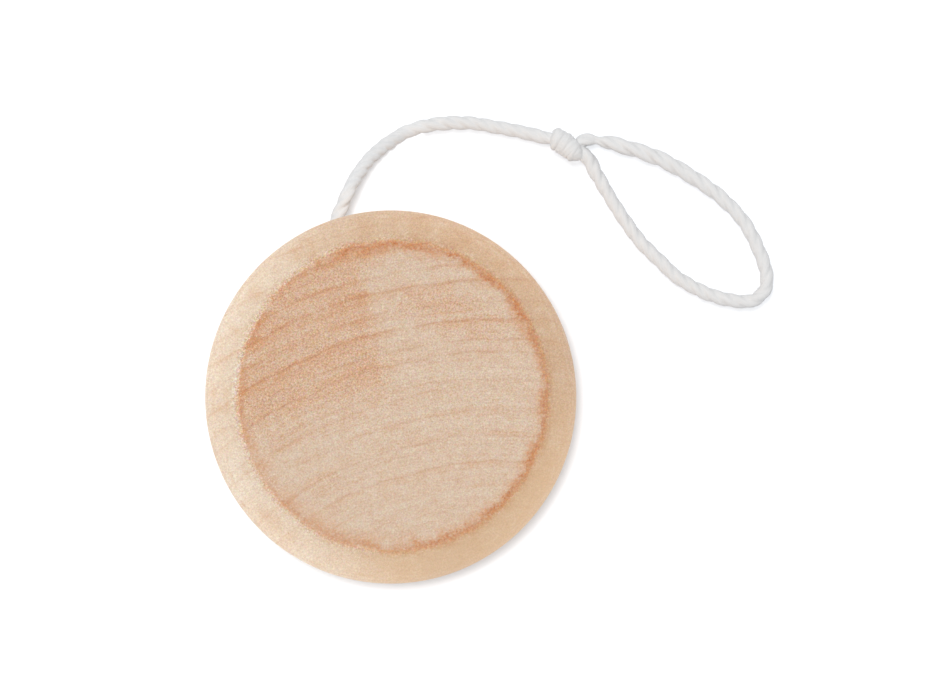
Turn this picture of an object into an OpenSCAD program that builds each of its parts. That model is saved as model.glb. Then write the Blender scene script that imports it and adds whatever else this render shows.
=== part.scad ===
// Wooden yo-yo with a twisted cotton string.
// Millimetres. Origin: centre of the rear flat face. +Z runs along the axle
// towards the front flat face, so the yo-yo lies on its rear face at z = 0.
// The free string leaves the gap, comes down to the table (z = 0) and ends in
// a knotted finger loop.

/* [Node] */
// which sub-part to draw, or all

/* [Body] */
// largest diameter of each half
body_d = 50; // [40:0.5:60]
// overall width over both flat faces
body_w = 30; // [26:0.5:36]
// diameter of the flat outer face, up to the crease
face_d = 41.2; // [30:0.2:44]
// width of the string gap between the halves
gap_w = 3; // [2.2:0.1:4]
// height of the widest point above the outer flat face
belly_h = 7.8; // [6:0.1:8.2]
// height of the straight band at the widest point
belly_band = 0.7; // [0.2:0.1:1.5]

/* [Axle] */
// diameter of the dowel that joins the halves
axle_d = 6; // [5:0.1:8]
// depth of the blind hole in each half
bore_depth = 9.5; // [6:0.1:10]
// length of dowel glued into each half
axle_seat = 9; // [5:0.1:9.5]
// how much smaller the blind hole is than the dowel, on the radius
glue_fit = 0.02; // [0:0.01:0.05]

/* [String] */
// diameter of the laid cotton string
string_d = 1.68; // [1.2:0.02:2]
// running clearance of the string's end loop round the axle
loop_clear = 0.05; // [0.01:0.01:0.1]
// spacing of the wound turns, centre to centre
turn_pitch = 1.74; // [1.7:0.01:2.1]
// number of turns wound on the axle
turns = 6; // [4:1:7]
// direction in which the string leaves the wound coil, degrees from +X
exit_dir = 67; // [50:1:75]
// length of string in the knot, end to end
knot_l = 5.4; // [4.5:0.1:7]
// width of the knot across the string
knot_w = 3.2; // [2.8:0.1:4.4]

/* [Hidden] */
$fn = 48;
overlap = 0.02;
body_r = body_d / 2;
face_r = face_d / 2;
axle_r = axle_d / 2;
string_r = string_d / 2;
mid_z = body_w / 2;
half_h = (body_w - gap_w) / 2;
// centre height of string lying on the table
floor_z = string_r + 0.02;
// a string piece starts this far past the hinge, clear of the ball end before it
hinge_gap = string_r + 0.06;

rear_color = [0.86, 0.74, 0.6];
front_color = [0.88, 0.76, 0.62];
axle_color = [0.82, 0.68, 0.52];
axle_loop_color = [0.93, 0.93, 0.92];
string_color = [0.95, 0.95, 0.94];

// ---- vectors and curves ----
function unit(v) = v / norm(v);

// a step of the given length at an angle in the plane of the table
function flat_step(angle, length) = length * [cos(angle), sin(angle), 0];

// point at t (0 to 1) on the Bezier curve that leaves start along leave
// and reaches end along arrive
function bezier(start, leave, end, arrive, t) =
  let (s = 1 - t)
    s * s * s * start
    + 3 * s * s * t * (start + leave)
    + 3 * s * t * t * (end - arrive)
    + t * t * t * end;

// direction of the last step of a path
function end_dir(path) = unit(path[len(path) - 1] - path[len(path) - 2]);

// path point i; one past either end continues the end step
function path_point(path, i) =
  i < 0 ? 2 * path[0] - path[1] :
  i >= len(path) ? 2 * path[len(path) - 1] - path[len(path) - 2] :
  path[i];

// Catmull-Rom point at t between after and next
function spline_point(before, after, next, beyond, t) =
  0.5 * (2 * after
    + (next - before) * t
    + (2 * before - 5 * after + 4 * next - beyond) * t * t
    + (3 * after - before - 3 * next + beyond) * t * t * t);

// smooth curve through the path points, with the given steps between each pair
function smooth(path, steps) = concat(
  [for (i = [0:len(path) - 2]) for (k = [0:steps - 1])
    spline_point(
      path_point(path, i - 1), path[i], path[i + 1], path_point(path, i + 2), k / steps
    )],
  [path[len(path) - 1]]
);

// moves the first and last points inwards along the ends
function trimmed(path, trim_start, trim_end) = [
  for (i = [0:len(path) - 1])
    i == 0 ? path[0] + trim_start * unit(path[1] - path[0]) :
    i == len(path) - 1 ? path[i] - trim_end * end_dir(path) :
    path[i]
];

// ---- spiral of the wound string ----
// It travels outwards clockwise, seen from +Z, and ends where the string leaves
// the coil along exit_dir.
coil_end_angle = exit_dir + 90;
first_turn_r = axle_r + loop_clear + string_r + turn_pitch;
coil_r = first_turn_r + turns * turn_pitch;
coil_end = [coil_r * cos(coil_end_angle), coil_r * sin(coil_end_angle), mid_z];
// the first part of the winding is spliced into the end loop
splice_angle = 70;
splice_start_r = axle_r + 1.35;

// radius of the string's centre after the given degrees of winding
function coil_radius(wound) =
  let (r = first_turn_r + turn_pitch * wound / 360)
    wound >= splice_angle ? r :
    r - (first_turn_r - splice_start_r) * (1 + cos(180 * wound / splice_angle)) / 2;

coil_path = [
  for (wound = [0:12:turns * 360])
    let (angle = coil_end_angle + turns * 360 - wound, r = coil_radius(wound))
      [r * cos(angle), r * sin(angle), mid_z]
];

// ---- straight string from the coil to the lift point ----
exit_u = flat_step(exit_dir, 1);
// distances of the two hinge points from the end of the coil
swing_dist = 11.6;
lift_dist = 21;
swing_step = swing_dist / 4;
swing_p = coil_end + swing_dist * exit_u;
lift_p = coil_end + lift_dist * exit_u;
wound_path = concat(
  coil_path,
  [for (t = [swing_step:swing_step:swing_dist]) coil_end + t * exit_u]
);

// ---- string from the lift point to the knot ----
// the string swings round and comes down to the table over this share of the run
drop_share = 0.7;
bend_p = [9, 36.85, floor_z];
near_path = concat([lift_p], [
  for (i = [0:7])
    let (
      t = i / 7,
      plan = bezier(lift_p + 2 * exit_u, 6.5 * exit_u, bend_p, flat_step(-2, 6), t),
      height_left = (1 + cos(180 * min(1, t / drop_share))) / 2
    )
      [plan[0], plan[1], floor_z + (mid_z - floor_z) * height_left]
]);
bend_u = end_dir(near_path);

turn_p = [19.3, 35.2, floor_z];
far_path = concat([bend_p], [
  for (i = [0:3])
    bezier(bend_p + 2 * bend_u, flat_step(-4, 2.7), turn_p, flat_step(-14, 2.7), i / 3)
]);
turn_u = end_dir(far_path);

// ---- knot ----
// The string runs in at one end, and the two arms of the finger loop leave
// at the other.
knot_u = flat_step(-38, 1);
knot_c = [23.5, 33.85, knot_w / 2 + 0.04];
knot_wraps = 3;
// how far each wrap slants along the knot
wrap_slant = 0.35;
knot_min_r = 0.3;
// share of knot_l that is swept, so that the ends stay inside the outer wraps
knot_swept = 0.998;
upper_arm_p = [28.4, 34.25, floor_z];
lower_arm_p = [27, 30.8, floor_z];
knot_in_path = [
  turn_p + hinge_gap * turn_u,
  turn_p + (hinge_gap + 0.9) * turn_u + [0, 0, 0.15],
  knot_c - knot_l * 0.2 * knot_u
];
lower_arm_path = [
  knot_c + knot_l * 0.15 * knot_u,
  knot_c + [2, -1.35, -0.6],
  lower_arm_p
];
upper_arm_path = [
  knot_c + [0.4, 0.1, -0.3],
  knot_c + [1.7, 0.6, -0.7],
  knot_c + [3.2, 0.75, floor_z - knot_c[2]],
  upper_arm_p
];

// radius of the knot at distance s from its middle and the given angle round it
function knot_radius(s, angle) =
  let (
    wrap_r = knot_l / (2 * knot_wraps),
    along = s + wrap_slant * cos(angle) * (1 - abs(s) * 2 / knot_l),
    wrap = max(-1, min(1, round(along / (2 * wrap_r)))),
    offset = along - 2 * wrap_r * wrap
  )
    max(knot_min_r, knot_w / 2 - wrap_r + sqrt(max(0, wrap_r * wrap_r - offset * offset)));

// ---- finger loop ----
// It runs from the upper arm round the far tip to the lower arm.
tip_side = [50.5, 16, floor_z];
tip_end = [47.5, 12.9, floor_z];
loop_path = concat(
  [for (i = [0:11])
    bezier(upper_arm_p, flat_step(-10, 10.5), tip_side, flat_step(-90, 9), i / 12)],
  [for (i = [0:2])
    bezier(tip_side, flat_step(-90, 1.7), tip_end, flat_step(180, 1.7), i / 3)],
  [for (i = [0:11])
    bezier(tip_end, flat_step(180, 8), lower_arm_p, flat_step(124, 11), i / 11)]
);

// ---- swept string ----
// direction of the path at point i
function heading(path, i) = unit(path[min(i + 1, len(path) - 1)] - path[max(i - 1, 0)]);

// a ring is [centre, heading, list of radii]
function round_ring(centre, dir, r, sides) = [centre, dir, [for (k = [0:sides - 1]) r]];

function string_rings(path, sides) = [
  for (i = [0:len(path) - 1]) round_ring(path[i], heading(path, i), string_r, sides)
];

// rings of the ball end past the last point
function ball_rings(path, sides) =
  let (end = path[len(path) - 1], dir = heading(path, len(path) - 1)) [
    for (a = [20:20:80])
      round_ring(end + string_r * sin(a) * dir, dir, string_r * cos(a), sides)
  ];

// skin over a list of rings, closed at both ends
module swept(rings, sides) {
  count = len(rings);
  ring_points = [
    for (ring = rings)
      let (side = unit(cross([0, 0, 1], ring[1])), up = cross(ring[1], side))
        for (k = [0:sides - 1])
          let (angle = 360 * k / sides)
            ring[0] + ring[2][k] * (cos(angle) * side + sin(angle) * up)
  ];
  walls = [
    for (i = [0:count - 2]) for (k = [0:sides - 1])
      let (a = i * sides + k, b = i * sides + (k + 1) % sides)
        each [[a, a + sides, b], [b, a + sides, b + sides]]
  ];
  // the end faces fan out from the two end centres, added after the ring points
  start_centre = count * sides;
  last_ring = (count - 1) * sides;
  start_face = [for (k = [0:sides - 1]) [k, (k + 1) % sides, start_centre]];
  end_face = [
    for (k = [0:sides - 1]) [last_ring + (k + 1) % sides, last_ring + k, start_centre + 1]
  ];
  polyhedron(
    points = concat(ring_points, [rings[0][0], rings[count - 1][0]]),
    faces = concat(walls, start_face, end_face),
    convexity = 6
  );
}

// smoothed string along a path; ball = true rounds the far end about its last point
module cord(path, trim_start = 0, trim_end = 0, ball = false) {
  sides = 12;
  line = smooth(trimmed(path, trim_start, trim_end), 3);
  swept(concat(string_rings(line, sides), ball ? ball_rings(line, sides) : []), sides);
}

// straight round string between two points
module rod(start, end) {
  z = unit(end - start);
  x = unit(cross([0, 0, 1], z));
  y = cross(z, x);
  multmatrix([
    [x[0], y[0], z[0], start[0]],
    [x[1], y[1], z[1], start[1]],
    [x[2], y[2], z[2], start[2]],
    [0, 0, 0, 1]
  ])
    cylinder(r = string_r, h = norm(end - start));
}

// ---- wooden body ----
// section of one half, measured from its outer flat face at y = 0
module half_section() {
  // shoulder arc from the crease up to the widest point
  flare = body_r - face_r;
  shoulder_r = (flare * flare + belly_h * belly_h) / (2 * flare);
  // lip arc from the straight band to the gap face
  band_top = belly_h + belly_band;
  lip_r = half_h - belly_h - belly_band;
  lip_x = body_r - lip_r;
  difference() {
    union() {
      intersection() {
        translate([body_r - shoulder_r, belly_h]) circle(r = shoulder_r, $fn = 180);
        square([body_r + 1, belly_h]);
      }
      square([face_r, belly_h]);
      translate([0, belly_h - overlap]) square([body_r, belly_band + overlap]);
      intersection() {
        translate([lip_x, band_top]) circle(r = lip_r, $fn = 180);
        translate([lip_x, band_top - overlap]) square([lip_r + 1, lip_r + overlap]);
      }
      translate([0, belly_h]) square([lip_x, half_h - belly_h]);
    }
    // nothing may cross the axis
    translate([-100, -50]) square([100, 100]);
  }
}

// one half with its flat face at z = 0 and its blind hole opening upwards
module half() {
  difference() {
    rotate_extrude($fn = 180) half_section();
    translate([0, 0, half_h - bore_depth])
      cylinder(r = axle_r - glue_fit, h = bore_depth + 1);
  }
}

module rear_half() color(rear_color) half();

module front_half() color(front_color)
  translate([0, 0, body_w]) mirror([0, 0, 1]) half();

module axle() color(axle_color)
  translate([0, 0, mid_z - gap_w / 2 - axle_seat])
    cylinder(r = axle_r, h = gap_w + 2 * axle_seat);

// ---- string pieces ----
module axle_loop() color(axle_loop_color)
  translate([0, 0, mid_z]) rotate_extrude($fn = 96)
    translate([axle_r + loop_clear + string_r, 0]) circle(r = string_r);

module wound_string() color(string_color) {
  sides = 10;
  swept(concat(string_rings(wound_path, sides), ball_rings(wound_path, sides)), sides);
}

module string_lead() color(string_color) {
  rod(swing_p + hinge_gap * exit_u, lift_p);
  translate(lift_p) sphere(r = string_r);
}

module string_near() color(string_color)
  cord(near_path, trim_start = hinge_gap, ball = true);

module string_far() color(string_color)
  cord(far_path, trim_start = hinge_gap, ball = true);

module knot() color(string_color) {
  sides = 16;
  steps = 18;
  swept([
    for (i = [0:steps])
      let (s = (i / steps - 0.5) * knot_l * knot_swept)
        [knot_c + s * knot_u, knot_u, [for (k = [0:sides - 1]) knot_radius(s, 360 * k / sides)]]
  ], sides);
  cord(knot_in_path);
  cord(lower_arm_path, ball = true);
  cord(upper_arm_path, ball = true);
}

module finger_loop() color(string_color)
  cord(loop_path, trim_start = hinge_gap, trim_end = hinge_gap);

rear_half();
front_half();
axle();
axle_loop();
wound_string();
string_lead();
string_near();
string_far();
knot();
finger_loop();
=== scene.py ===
"""A turned wooden spool on a dowel, with cotton string ending in a knotted finger loop.

The spool's axle is the z axis: the rear half's flat face lies on the floor at z = 0 and the front
half's looks up at z = 30 mm. The string winds round the axle between them, leaves the gap on the
+y side, comes down to the floor and runs to its knot and loop on the +x side.
Shapes are in mm and are scaled to metres as meshes are made.
"""
import math
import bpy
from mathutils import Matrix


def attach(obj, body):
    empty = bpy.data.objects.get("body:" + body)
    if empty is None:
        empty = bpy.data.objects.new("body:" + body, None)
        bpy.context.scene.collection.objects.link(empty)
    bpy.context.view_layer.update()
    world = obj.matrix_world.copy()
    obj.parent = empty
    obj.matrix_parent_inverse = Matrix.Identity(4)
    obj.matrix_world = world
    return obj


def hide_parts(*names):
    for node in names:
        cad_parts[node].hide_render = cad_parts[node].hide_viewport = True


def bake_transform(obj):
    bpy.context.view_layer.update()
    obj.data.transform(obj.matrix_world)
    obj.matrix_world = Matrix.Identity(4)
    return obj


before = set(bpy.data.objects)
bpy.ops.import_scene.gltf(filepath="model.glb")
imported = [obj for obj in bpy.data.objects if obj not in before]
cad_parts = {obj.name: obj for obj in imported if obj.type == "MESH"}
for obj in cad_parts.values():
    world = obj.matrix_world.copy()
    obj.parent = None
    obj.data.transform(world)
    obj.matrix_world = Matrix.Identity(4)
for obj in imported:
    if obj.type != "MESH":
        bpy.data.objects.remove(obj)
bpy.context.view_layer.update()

from types import SimpleNamespace

import bpy
import numpy as np
from mathutils import Vector

MM = 0.001
UP = np.array([0.0, 0.0, 1.0])


def direction(degrees):
    angle = math.radians(degrees)
    return np.array([math.cos(angle), math.sin(angle), 0.0])


# ------------------------------------------------------------------ dimensions, mm
MID_Z = 15.0                # middle of the gap between the halves
FRONT_Z = 2 * MID_Z         # the front half's flat face
RIM_R = 25.0
FACE_R = 20.6               # flat face, out to its crease
HALF_HEIGHT = 13.5
SHOULDER_HEIGHT = 7.8       # curve from the crease to the rim
BAND_HEIGHT = 0.7           # straight part of the rim
HOLE_DEPTH = 9.5
FRONT_CREASE = (0.25, 0.16)         # how far the crease lies off centre
REAR_CREASE = (-0.15, 0.128)
REAR_CREASE_COLOUR = (-0.15, 0.13)  # centre of the coloured crease line

STRING_R = 0.84
REST_Z = 0.86               # middle of string lying on the floor
LOOSE_PITCH = 6.7           # length of one twist of the free and wound string
TURNS, TURN_GAP, FIRST_TURN_R = 6, 1.74, 5.63
COIL_START_R = 4.35
AXLE_LOOP_R = 3.9
COIL_END_ANGLE = 157        # degrees
EXIT_U = direction(67)      # the way the string leaves the coil
COIL_END = (FIRST_TURN_R + TURNS * TURN_GAP) * direction(COIL_END_ANGLE) + MID_Z * UP

# points along the string, passed to hinge() below and used to still the waver near them
SWING = COIL_END + 11.6 * EXIT_U
LIFT = COIL_END + 21.0 * EXIT_U
BEND = np.array([9.0, 36.85, REST_Z])
BEND_U = np.array([1.0, -0.02, 0.0])
TURN = np.array([19.3, 35.2, REST_Z])
TURN_U = np.array([0.97, -0.24, 0.0])
UPPER_ARM = np.array([28.4, 34.25, REST_Z])
LOWER_ARM = np.array([27.0, 30.8, REST_Z])
LOOP_U = np.array([3.45, -1.4, 0.0]) / math.hypot(3.45, 1.4)
LOOP_TIP = (50.4, 15.0, REST_Z)

KNOT_ENTRY = (20.6, 34.95, 1.0)
KNOT_CENTRE = np.array([23.5, 33.85, 1.62])
KNOT_U = direction(-38)     # along the knot
KNOT_V = np.array([-KNOT_U[1], KNOT_U[0], 0.0])
KNOT_TURN_R = 0.86          # middle of the wraps, pulled tight

CAMERA_X, CAMERA_Y = 11.324862, 6.31398
CAMERA_DISTANCE = 4000.0    # from the view plane
VIEW_PLANE_Z = 22.2
FRAME_WIDTH = 127.623       # seen at the view plane
VIEW_AXIS = np.round([CAMERA_X, CAMERA_Y], 2)


# ------------------------------------------------------------------ paths
def cubic(before, start, end, after, along):
    """Catmull-Rom curve from start to end."""
    return 0.5 * (2 * start + (end - before) * along
                  + (2 * before - 5 * start + 4 * end - after) * along * along
                  + (3 * start - before - 3 * end + after) * along ** 3)


def smooth_noise(count, step, seed):
    """Smooth noise from -1 to 1 whose features are about step samples long."""
    size = int(count / step) + 5
    knots = np.random.default_rng(seed).uniform(-1.0, 1.0, size)
    place = np.arange(count) / step + 1
    i = place.astype(int)
    return cubic(knots[i - 1], knots[i], knots[i + 1], knots[np.minimum(i + 2, size - 1)], place - i)


def catmull(points, steps):
    points = np.array(points, float)
    padded = np.vstack([2 * points[0] - points[1], points, 2 * points[-1] - points[-2]])
    along = (np.arange(steps) / steps)[:, None]
    spans = [cubic(*padded[i - 1:i + 3], along) for i in range(1, len(padded) - 2)]
    return np.vstack(spans + [points[-1:]])


def even(path, step):
    """The same path with its points about step apart."""
    distance = np.r_[0, np.cumsum(np.linalg.norm(np.diff(path, axis=0), axis=1))]
    count = max(2, int(round(distance[-1] / step)) + 1)
    stations = np.linspace(0, distance[-1], count)
    return np.stack([np.interp(stations, distance, path[:, k]) for k in range(3)], 1)


def soften(path, width):
    """Gaussian smoothing that keeps both ends."""
    reach = int(width * 3)
    weights = np.exp(-0.5 * (np.arange(-reach, reach + 1) / width) ** 2)
    weights /= weights.sum()
    head = 2 * path[0] - path[reach:0:-1]
    tail = 2 * path[-1] - path[-2:-reach - 2:-1]
    padded = np.vstack([head, path, tail])
    return np.stack([np.convolve(column, weights, "valid") for column in padded.T], 1)


def unit_rows(vectors):
    return vectors / np.linalg.norm(vectors, axis=1)[:, None]


def cross_axes(path):
    """Normals and binormals carried along the path without twisting."""
    tangents = unit_rows(np.gradient(path, axis=0))
    normals = np.empty_like(path)
    carried = UP
    for i, tangent in enumerate(tangents):
        carried = carried - tangent * (carried @ tangent)
        carried = carried / np.linalg.norm(carried)
        normals[i] = carried
    return normals, np.cross(tangents, normals)


def nearest(path, point):
    return int(np.argmin(np.linalg.norm(path - np.array(point, float), axis=1)))


# ------------------------------------------------------------------ meshes
def make_mesh(name, verts, faces, material, smooth=True, yarn=None, sharp=None):
    """An object from vertices in mm and arrays of faces, each array with its own corner count.
    yarn is a vector per vertex, sharp an edge angle in degrees."""
    mesh = bpy.data.meshes.new(name)
    verts = np.asarray(verts, np.float32) * MM
    mesh.vertices.add(len(verts))
    mesh.vertices.foreach_set("co", verts.ravel())
    faces = [np.asarray(block, np.int32) for block in faces]
    loops = np.concatenate([block.ravel() for block in faces])
    totals = np.concatenate([np.full(len(block), block.shape[1], np.int32) for block in faces])
    starts = np.r_[0, np.cumsum(totals)[:-1]].astype(np.int32)
    mesh.loops.add(len(loops))
    mesh.loops.foreach_set("vertex_index", loops)
    mesh.polygons.add(len(totals))
    mesh.polygons.foreach_set("loop_start", starts)
    mesh.polygons.foreach_set("loop_total", totals)
    mesh.update(calc_edges=True)
    mesh.validate()
    mesh.polygons.foreach_set("use_smooth", np.full(len(mesh.polygons), smooth))
    if yarn is not None:
        attribute = mesh.attributes.new("yarn", "FLOAT_VECTOR", "POINT")
        attribute.data.foreach_set("vector", np.asarray(yarn, np.float32).ravel())
    if sharp is not None:
        mesh.set_sharp_from_angle(angle=math.radians(sharp))
    mesh.update()
    made = bpy.data.objects.new(name, mesh)
    bpy.context.scene.collection.objects.link(made)
    mesh.materials.append(material)
    return made


# ------------------------------------------------------------------ shader graphs
class Signal:
    """A shader value. Arithmetic on it adds math nodes: vector ones if the left side is a
    vector or colour, number ones otherwise."""

    def __init__(self, graph, socket):
        self.graph = graph
        self.socket = socket

    def __add__(self, other):
        return self.graph.arithmetic("ADD", self, other)

    def __sub__(self, other):
        return self.graph.arithmetic("SUBTRACT", self, other)

    def __rsub__(self, other):
        return self.graph.arithmetic("SUBTRACT", other, self)

    def __mul__(self, other):
        return self.graph.arithmetic("MULTIPLY", self, other)

    def __truediv__(self, other):
        return self.graph.arithmetic("DIVIDE", self, other)

    def remap(self, over, to=(0.0, 1.0), smooth=False):
        """Carries the range over to the range to, clamped."""
        return self.graph.make("ShaderNodeMapRange", dict(enumerate((self, *over, *to))),
                               interpolation_type="SMOOTHSTEP" if smooth else "LINEAR")


def is_number(value):
    if isinstance(value, Signal):
        return value.socket.type == "VALUE"
    return isinstance(value, (int, float))


class Graph:
    """Builds a material from expressions."""

    def __init__(self, name):
        self.material = bpy.data.materials.new(name)
        self.material.use_nodes = True
        self.tree = self.material.node_tree
        self.tree.nodes.clear()

    def feed(self, socket, value):
        if isinstance(value, Signal):
            self.tree.links.new(value.socket, socket)
        elif socket.type == "RGBA":
            socket.default_value = (*value, 1)
        else:
            socket.default_value = value

    def make(self, kind, inputs, output=0, **properties):
        node = self.tree.nodes.new(kind)
        for key, value in properties.items():
            setattr(node, key, value)
        for key, value in inputs.items():
            self.feed(node.inputs[key], value)
        return Signal(self, node.outputs[output])

    def calculate(self, operation, *values):
        return self.make("ShaderNodeMath", dict(enumerate(values)), operation=operation)

    def arithmetic(self, operation, first, second):
        if is_number(first):
            return self.calculate(operation, first, second)
        if operation == "MULTIPLY" and is_number(second):
            return self.make("ShaderNodeVectorMath", {0: first, "Scale": second}, operation="SCALE")
        return self.make("ShaderNodeVectorMath", {0: first, 1: second}, operation=operation)

    def object_position(self):
        return self.make("ShaderNodeTexCoord", {}, output="Object")

    def position_mm(self):
        return self.object_position() * 1000.0

    def combine(self, x, y, z):
        return self.make("ShaderNodeCombineXYZ", {0: x, 1: y, 2: z})

    def grey(self, value):
        return self.combine(value, value, value)

    def split(self, vector):
        first = self.make("ShaderNodeSeparateXYZ", {0: vector})
        return [Signal(self, socket) for socket in first.socket.node.outputs]

    def length(self, x, y):
        return self.calculate("SQRT", x * x + y * y)

    def cosine(self, angle, degrees):
        """1 where angle points at degrees, falling to -1 opposite."""
        return self.calculate("COSINE", angle - math.radians(degrees))

    def noise(self, vector, scale, detail=2.0, roughness=0.5, output=0):
        return self.make("ShaderNodeTexNoise", {
            "Vector": vector, "Scale": scale, "Detail": detail, "Roughness": roughness,
        }, output, noise_dimensions="3D")

    def line_noise(self, distance, scale, detail, roughness):
        return self.make("ShaderNodeTexNoise", {
            "W": distance, "Scale": scale, "Detail": detail, "Roughness": roughness,
        }, noise_dimensions="1D")

    def ramp(self, value, stops):
        """stops are (position, grey level)."""
        ramped = self.make("ShaderNodeValToRGB", {0: value})
        ramp = ramped.socket.node.color_ramp
        ramp.interpolation = "LINEAR"
        while len(ramp.elements) < len(stops):
            ramp.elements.new(0.5)
        for element, (position, _) in zip(ramp.elements, stops):
            element.position = position
        for element, (_, level) in zip(ramp.elements, stops):
            element.color = (level, level, level, 1)
        return ramped

    def mix(self, amount, base, over):
        return self.make("ShaderNodeMix", {0: amount, 6: base, 7: over}, output=2,
                         data_type="RGBA", blend_type="MIX", clamp_factor=True)

    def paint(self, base, layers):
        """Mixes layers of (mask, strength, colour) over base in turn."""
        for mask, strength, colour in layers:
            base = self.mix(mask * strength, base, colour)
        return base

    def bump(self, height, strength, distance):
        return self.make("ShaderNodeBump", {
            "Strength": strength, "Distance": distance, "Height": height})

    def finish(self, shader):
        output = self.tree.nodes.new("ShaderNodeOutputMaterial")
        self.feed(output.inputs[0], shader)
        return self.material

    def principled(self, colour, roughness, normal, settings):
        return self.finish(self.make("ShaderNodeBsdfPrincipled", {
            "Base Color": colour, "Roughness": roughness, "Normal": normal, **settings}))


def linear(rgb, gain):
    """sRGB 0-255 to linear, times gain."""
    def channel(value):
        value /= 255
        return (value / 12.92 if value <= 0.04045 else ((value + 0.055) / 1.055) ** 2.4) * gain
    return tuple(channel(value) for value in rgb)


def face_tone(*rgb):
    """Albedo that shows as rgb on the flat face under these lights."""
    return linear(rgb, gain=0.97)


def side_tone(*rgb):
    """Albedo that shows as rgb on the shoulder."""
    return linear(rgb, gain=0.86)


# ------------------------------------------------------------------ wood
# dark growth-ring lines: (radius about the pith in mm, strength)
INNER_RINGS = [
    (39.9, .30), (43.3, .22), (45.8, .55), (48.2, .25),
    (49.3, .60), (52.4, .42), (55.4, .42), (56.6, .45),
]
OUTER_RINGS = [
    (60.05, .55), (61.9, .60), (64.7, .72), (67.2, .60),
    (70.1, .90), (72.3, .80), (75.6, .55), (79.0, .6),
]
RING_RANGE = (36.0, 84.0)
# patches of the front face: (x, y, x radius, y radius, strength)
DARK_PATCHES = [
    (6.0, 12.6, 7.0, 2.6, 0.62), (11.5, 9.6, 6.0, 2.0, 0.42), (-5.0, 18.6, 6.5, 2.0, 0.65),
    (-9.0, -11.5, 2.6, 1.8, 0.40), (-14.5, -2.5, 4.0, 5.0, 0.45), (-3.0, 4.0, 4.0, 3.0, 0.5),
]
PALE_PATCHES = [
    (0.1, 15.6, 2.3, 3.6, 0.72), (15.0, 12.4, 2.4, 2.0, 0.6),
    (17.0, 4.0, 3.2, 7.0, 0.5), (2.2, 6.8, 2.2, 1.6, 0.35),
]


def wood_places(graph, pith, face_z, outward, seed, crease):
    """Where a point is in the wood, for the patterns. Vectors added to grain or ends later on
    only pick unrelated parts of the noise."""
    point = graph.position_mm()
    x, y, z = graph.split(point)
    grain = point + (seed * 31.7, seed * 17.3, seed * 5.1)
    ends = grain * (1, 1, 0.12)                 # grain runs along the axle
    crease_x, crease_y = x - crease[0], y - crease[1]
    depth = (face_z - z) * outward              # 0 on the flat face, growing inwards
    # ring radius about the pith, a little wavy
    pith_x, pith_y = x - pith[0], y - pith[1]
    ring_r = graph.length(pith_x, pith_y)
    for scale, detail, amount in ((0.045, 1.0, 1.6), (0.25, 2.0, 0.9), (1.6, 2.0, 0.22)):
        ring_r = ring_r + (graph.noise(ends, scale=scale, detail=detail) - 0.5) * amount
    return SimpleNamespace(
        seed=seed, x=x, y=y, z=z, grain=grain, ends=ends, depth=depth, ring_r=ring_r,
        radius=graph.length(crease_x, crease_y),
        turn=graph.calculate("ARCTAN2", crease_y, crease_x),
        theta=graph.calculate("ARCTAN2", y, x),
        ring_angle=graph.calculate("ARCTAN2", pith_x, pith_y),
        on_face=depth.remap(over=(0.02, 0.12), to=(1.0, 0.0)))


def ring_ramp(graph, place, rings, before, after):
    """A peak at each ring, rising over before mm and falling over after mm."""
    low, high = RING_RANGE
    stops = [(0.0, 0.0)]
    for radius, strength in rings:
        for edge, level in ((radius - before, 0.0), (radius - 0.05, strength), (radius + after, 0.0)):
            position = (edge - low) / (high - low)
            if position > stops[-1][0] + 0.0005:
                stops.append((position, level))
    return graph.ramp(place, stops + [(1.0, 0.0)])


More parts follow.
